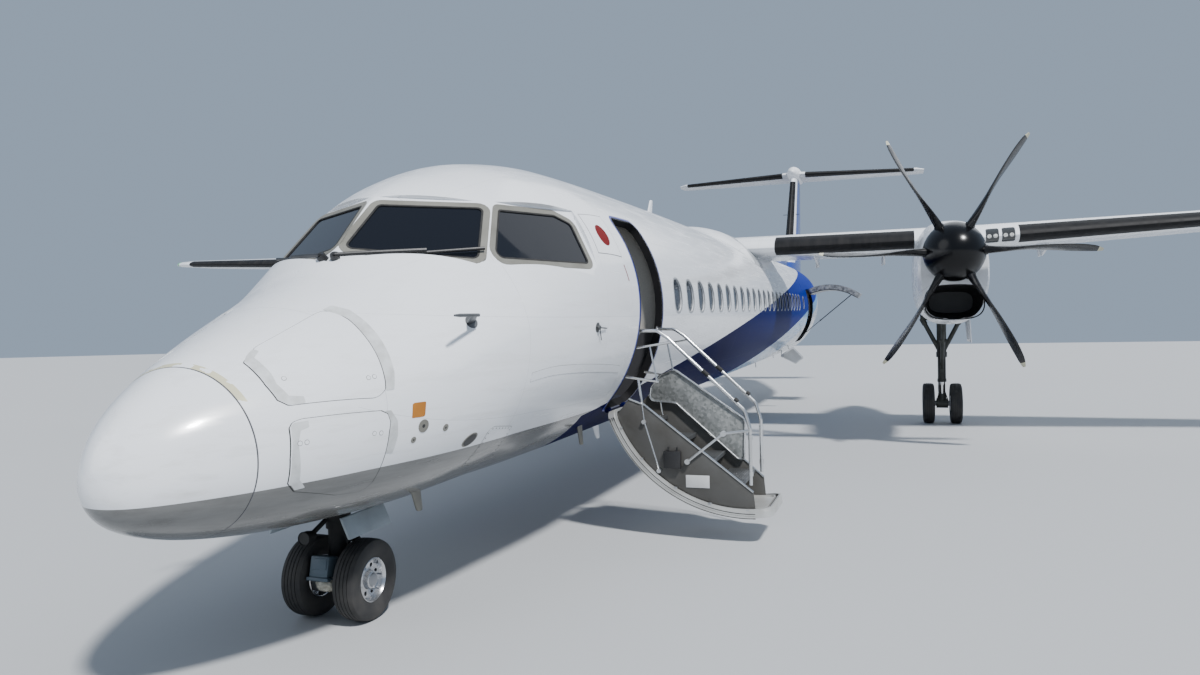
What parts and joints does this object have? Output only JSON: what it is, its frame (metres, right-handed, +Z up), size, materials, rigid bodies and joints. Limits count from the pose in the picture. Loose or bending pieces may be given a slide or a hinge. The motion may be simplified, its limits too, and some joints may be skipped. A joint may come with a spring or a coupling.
{
  "type": "turboprop airliner",
  "caption": "twin-engined high-wing regional airliner with a T-tail, parked on its gear with the airstair and baggage door open",
  "frame": {"origin": "middle of the bounding box on the ground plane under the tyres", "axes": "+X to the aircraft's port side, +Y aft along the ground, +Z up"},
  "size_m": [28.42, 32.6401, 8.2401],
  "materials": {
    "white_paint": "gloss white airframe paint",
    "blue_paint": "gloss royal blue paint",
    "black_composite": "gloss black composite blades and spinner",
    "grey_metal": "satin grey gear paint",
    "dark_metal": "dark grey gear paint",
    "steel": "polished wheel",
    "alloy": "bare stair metal",
    "tyre": "ribbed black rubber",
    "window": "dark coated flight deck glass",
    "interior": "matte dark cockpit trim"
  },
  "bodies": {
    "airframe": {"radome": "white_paint", "nose_shell": "white_paint", "door_section": "white_paint", "cabin_section": "white_paint", "hold_section": "white_paint", "tail_section": "blue_paint", "wing_fairing": "white_paint", "windscreen_port": "window", "windscreen_starboard": "window", "side_window_port": "window", "side_window_starboard": "window", "instrument_panel": "interior", "pilot_seat_port": "interior", "pilot_seat_starboard": "interior", "aft_passenger_door": "white_paint", "service_door": "white_paint", "forward_exit_door": "white_paint", "wing_centre": "white_paint", "outer_wing_port": "white_paint", "nacelle_port": "white_paint", "engine_port": "dark_metal", "main_leg_port": "grey_metal", "main_gear_door_port": "white_paint", "nose_gear_door_port": "white_paint", "outer_wing_starboard": "white_paint", "nacelle_starboard": "white_paint", "engine_starboard": "dark_metal", "main_leg_starboard": "grey_metal", "main_gear_door_starboard": "white_paint", "nose_gear_door_starboard": "white_paint", "fin": "blue_paint", "tail_bullet": "white_paint", "tailplane": "white_paint", "nose_leg": "grey_metal"},
    "propeller_port": {"propeller_port": "black_composite"},
    "main_wheel_pair_port": {"main_wheels_port": "steel", "main_tyre_port_inboard": "tyre", "main_tyre_port_outboard": "tyre"},
    "propeller_starboard": {"propeller_starboard": "black_composite"},
    "main_wheel_pair_starboard": {"main_wheels_starboard": "steel", "main_tyre_starboard_inboard": "tyre", "main_tyre_starboard_outboard": "tyre"},
    "nose_steering": {"nose_fork": "dark_metal"},
    "nose_wheel_pair": {"nose_wheels": "steel", "nose_tyre_port": "tyre", "nose_tyre_starboard": "tyre"},
    "airstair": {"airstair_skin": "white_paint", "airstair_steps": "alloy"},
    "baggage_hatch": {"baggage_door": "white_paint"},
    "rudder": {"rudder_front": "blue_paint"},
    "rudder_tab": {"rudder_rear": "blue_paint"},
    "elevator_port": {"elevator_port": "white_paint"},
    "elevator_starboard": {"elevator_starboard": "white_paint"},
    "aileron_port": {"aileron_port": "white_paint"},
    "aileron_starboard": {"aileron_starboard": "white_paint"},
    "inner_flap_port": {"inner_flap_port": "white_paint"},
    "inner_flap_starboard": {"inner_flap_starboard": "white_paint"},
    "outer_flap_port": {"outer_flap_port": "white_paint"},
    "outer_flap_starboard": {"outer_flap_starboard": "white_paint"}
  },
  "joints": [
    {"name": "propeller_port_spin", "type": "hinge", "parent": "airframe", "child": "propeller_port", "pos_m": [4.4, -4.9868, 3.09411], "axis": [0, 0.9996, 0.0297], "continuous": true},
    {"name": "main_wheels_port_spin", "type": "hinge", "parent": "airframe", "child": "main_wheel_pair_port", "pos_m": [4.4, -0.557, 0.4065], "axis": [1, 0, 0], "continuous": true},
    {"name": "propeller_starboard_spin", "type": "hinge", "parent": "airframe", "child": "propeller_starboard", "pos_m": [-4.4, -4.9868, 3.09411], "axis": [0, 0.9996, 0.0297], "continuous": true},
    {"name": "main_wheels_starboard_spin", "type": "hinge", "parent": "airframe", "child": "main_wheel_pair_starboard", "pos_m": [-4.4, -0.557, 0.4065], "axis": [1, 0, 0], "continuous": true},
    {"name": "nose_steer", "type": "hinge", "parent": "airframe", "child": "nose_steering", "pos_m": [0, -14.497, 0.264], "axis": [0, -0.0614, 0.9981], "range_deg": [-70, 70]},
    {"name": "nose_wheels_spin", "type": "hinge", "parent": "nose_steering", "child": "nose_wheel_pair", "pos_m": [0, -14.497, 0.264], "axis": [1, 0, 0], "continuous": true},
    {"name": "airstair_hinge", "type": "hinge", "parent": "airframe", "child": "airstair", "pos_m": [0.95872, -11.49816, 1.15569], "axis": [0, 0.9996, 0.0297], "range_deg": [-117, 0]},
    {"name": "baggage_door_hinge", "type": "hinge", "parent": "airframe", "child": "baggage_hatch", "pos_m": [1.27789, 4.68699, 3.0761], "axis": [0, 0.9996, 0.0297], "range_deg": [0, 95.5]},
    {"name": "rudder_hinge", "type": "hinge", "parent": "airframe", "child": "rudder", "pos_m": [0, 13.74893, 4.29546], "axis": [0, 0.2862, 0.9582], "range_deg": [-18, 18]},
    {"name": "trailing_rudder_hinge", "type": "hinge", "parent": "rudder", "child": "rudder_tab", "pos_m": [0, 14.60352, 4.32082], "axis": [0, 0.1861, 0.9825], "range_deg": [-18, 18]},
    {"name": "elevator_port_hinge", "type": "hinge", "parent": "airframe", "child": "elevator_port", "pos_m": [0.33, 14.96728, 7.95321], "axis": [0.9973, 0.0738, 0.0022], "range_deg": [-20, 25]},
    {"name": "elevator_starboard_hinge", "type": "hinge", "parent": "airframe", "child": "elevator_starboard", "pos_m": [-4.36, 15.2657, 7.96207], "axis": [0.9973, -0.0738, -0.0022], "range_deg": [-20, 25]},
    {"name": "aileron_port_hinge", "type": "hinge", "parent": "airframe", "child": "aileron_port", "pos_m": [10.15, -1.10241, 3.7498], "axis": [0.9991, -0.0098, 0.0417], "range_deg": [-17, 17]},
    {"name": "aileron_starboard_hinge", "type": "hinge", "parent": "airframe", "child": "aileron_starboard", "pos_m": [-13.3, -1.13324, 3.88142], "axis": [0.9991, 0.0098, -0.0417], "range_deg": [-17, 17]},
    {"name": "inner_flap_port_hinge", "type": "hinge", "parent": "airframe", "child": "inner_flap_port", "pos_m": [2.0038, -1.18909, 3.23363], "axis": [1, 0, 0], "range_deg": [-35, 0]},
    {"name": "inner_flap_starboard_hinge", "type": "hinge", "parent": "airframe", "child": "inner_flap_starboard", "pos_m": [-3.2862, -1.18909, 3.23363], "axis": [1, 0, 0], "range_deg": [-35, 0]},
    {"name": "outer_flap_port_hinge", "type": "hinge", "parent": "airframe", "child": "outer_flap_port", "pos_m": [6.1266, -1.19101, 3.28822], "axis": [0.9989, -0.0016, 0.0463], "range_deg": [-35, 0]},
    {"name": "outer_flap_starboard_hinge", "type": "hinge", "parent": "airframe", "child": "outer_flap_starboard", "pos_m": [-8.9434, -1.19561, 3.4189], "axis": [0.9989, 0.0016, -0.0463], "range_deg": [-35, 0]}
  ],
  "couplings": [
    {"joint": "trailing_rudder_hinge", "follows": "rudder_hinge", "ratio": 1},
    {"joint": "elevator_starboard_hinge", "follows": "elevator_port_hinge", "ratio": 1},
    {"joint": "aileron_starboard_hinge", "follows": "aileron_port_hinge", "ratio": -1},
    {"joint": "inner_flap_starboard_hinge", "follows": "inner_flap_port_hinge", "ratio": 1},
    {"joint": "outer_flap_port_hinge", "follows": "inner_flap_port_hinge", "ratio": 1},
    {"joint": "outer_flap_starboard_hinge", "follows": "inner_flap_port_hinge", "ratio": 1}
  ]
}
